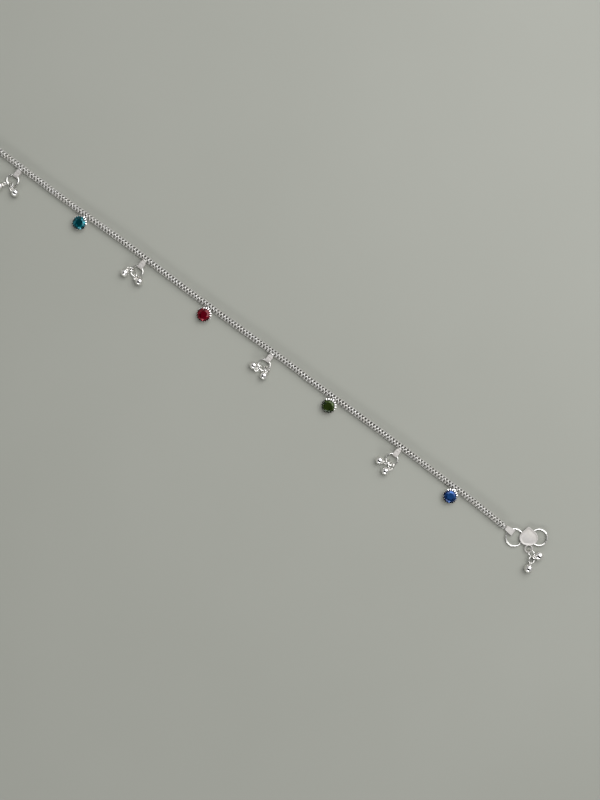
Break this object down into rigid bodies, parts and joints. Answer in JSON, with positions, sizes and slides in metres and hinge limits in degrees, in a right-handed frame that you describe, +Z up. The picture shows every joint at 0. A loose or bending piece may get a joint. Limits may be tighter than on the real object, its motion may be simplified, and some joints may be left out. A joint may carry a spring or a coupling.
{
  "type": "payal anklet",
  "caption": "Silver payal anklet: a fine woven chain hung with round claw-set glass stones and pairs of small bells, with a leaf-shaped S-hook clasp and a plain closing ring.",
  "frame": {"origin": "middle of the whole anklet's footprint, on the surface it lies on", "axes": "+X along the chain towards the S-hook clasp, +Y away from the hanging stones and bells, +Z up off the surface"},
  "size_m": [0.27, 0.0172, 0.0033],
  "materials": {
    "chain_silver": "bright drawn-wire weave, darker in the gaps between the loops",
    "polished_silver": "polished sterling silver with fine handling scratches",
    "frosted_silver": "pale matte whitened silver, brighter along rubbed edges",
    "glass_navy": "foil-backed navy glass, cut in facets",
    "glass_teal": "foil-backed teal glass, cut in facets",
    "glass_red": "foil-backed ruby red glass, cut in facets",
    "glass_green": "foil-backed olive green glass, cut in facets"
  },
  "bodies": {
    "root": {"chain": "chain_silver", "setting_1": "polished_silver", "stone_1": "glass_navy", "setting_2": "polished_silver", "stone_2": "glass_teal", "setting_3": "polished_silver", "stone_3": "glass_red", "setting_4": "polished_silver", "stone_4": "glass_green", "setting_5": "polished_silver", "stone_5": "glass_navy", "hanger_1": "frosted_silver", "drop_ring_1": "polished_silver", "link_ring_1a": "polished_silver", "bell_1a": "polished_silver", "link_ring_1b": "polished_silver", "bell_1b": "polished_silver", "hanger_2": "frosted_silver", "drop_ring_2": "polished_silver", "link_ring_2a": "polished_silver", "bell_2a": "polished_silver", "link_ring_2b": "polished_silver", "bell_2b": "polished_silver", "hanger_3": "frosted_silver", "drop_ring_3": "polished_silver", "link_ring_3a": "polished_silver", "bell_3a": "polished_silver", "link_ring_3b": "polished_silver", "bell_3b": "polished_silver", "hanger_4": "frosted_silver", "drop_ring_4": "polished_silver", "link_ring_4a": "polished_silver", "bell_4a": "polished_silver", "link_ring_4b": "polished_silver", "bell_4b": "polished_silver", "end_tag_hook": "frosted_silver", "s_hook": "frosted_silver", "clasp_ring": "polished_silver", "clasp_bell_a": "polished_silver", "clasp_link": "polished_silver", "clasp_bell_b": "polished_silver", "end_tag_ring": "frosted_silver", "closing_ring": "polished_silver"}
  },
  "joints": []
}
